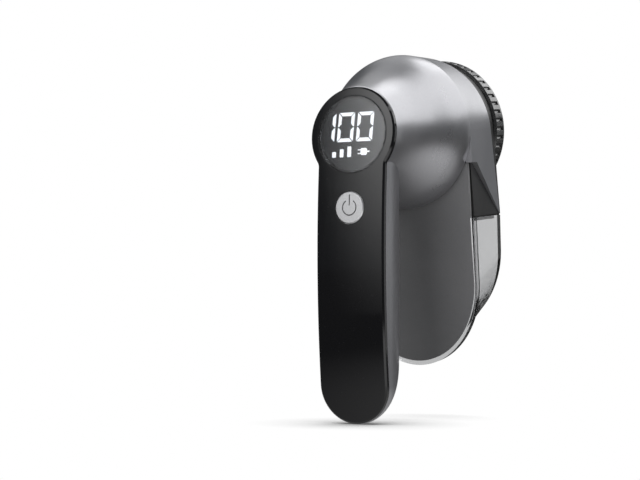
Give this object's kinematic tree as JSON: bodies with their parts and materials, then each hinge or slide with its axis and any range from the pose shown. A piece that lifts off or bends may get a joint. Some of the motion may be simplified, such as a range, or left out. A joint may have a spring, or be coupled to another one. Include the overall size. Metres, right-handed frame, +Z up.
{
  "type": "fabric shaver",
  "caption": "Upright rechargeable fabric shaver: slim handle with face plate, round display and button, cone-backed cutting head with ribbed foil ring, clear lint bin below.",
  "frame": {"origin": "centre of the charging port's mouth at the foot of the handle, at the level of the foot's lowest line", "axes": "+Z up along the handle, +Y toward the cutting foil, +X to the right seen from the display side"},
  "size_m": [0.066, 0.0841, 0.1564],
  "materials": {
    "shell_paint": "satin metallic",
    "face_black": "gloss",
    "smoked_lens": "gloss",
    "segment_white": "lit",
    "board_green": "matt",
    "chip_black": "matt",
    "cell_wrap": "satin",
    "contact_metal": "bright",
    "inner_plastic": "matt",
    "housing_black": "satin",
    "ring_black": "satin",
    "foil_steel": "fine brushed",
    "motor_steel": "satin",
    "button_silver": "satin metallic",
    "bin_clear": "light smoke, gloss",
    "panel_grey": "satin",
    "gasket_rubber": "matt",
    "blade_white": "satin",
    "blade_steel": "bright"
  },
  "bodies": {
    "housing": {"main_shell": "shell_paint", "face_plate": "face_black", "display_lens": "smoked_lens", "display_board": "chip_black", "display_segments": "segment_white", "control_board": "board_green", "button_switch": "chip_black", "battery_cell": "cell_wrap", "battery_contacts": "contact_metal", "cell_cradle": "inner_plastic", "charging_port": "contact_metal", "charging_board": "board_green", "port_carrier": "inner_plastic", "front_housing": "housing_black", "collar": "shell_paint", "bin_gasket": "gasket_rubber", "cutter_seat": "housing_black", "motor_can": "motor_steel", "motor_end_cap": "inner_plastic", "motor_screws": "motor_steel"},
    "cutter": {"motor_shaft": "motor_steel", "blade_hub": "blade_white", "blade_disc": "blade_white", "blades": "blade_steel"},
    "foil_head": {"foil": "foil_steel", "foil_ring": "ring_black"},
    "power_button": {"power_button": "button_silver"},
    "lint_bin": {"bin_body": "bin_clear", "bin_rear_panel": "panel_grey"}
  },
  "joints": [
    {"name": "cutter_spin", "type": "hinge", "parent": "housing", "child": "cutter", "pos_m": [0, -0.0069, 0.1188], "axis": [0, 0.9962, 0.0872], "continuous": true},
    {"name": "foil_twist", "type": "hinge", "parent": "housing", "child": "foil_head", "pos_m": [0, -0.0069, 0.1188], "axis": [0, 0.9962, 0.0872], "range_deg": [0, 22]},
    {"name": "power_press", "type": "slide", "parent": "housing", "child": "power_button", "axis": [0, 0.9995, -0.0324], "range_m": [0, 0.0006], "stiffness_N_per_m": 2500, "springref_m": -0.0004},
    {"name": "bin_slide", "type": "slide", "parent": "housing", "child": "lint_bin", "axis": [0, 0.0872, -0.9962], "range_m": [0, 0.018]}
  ]
}
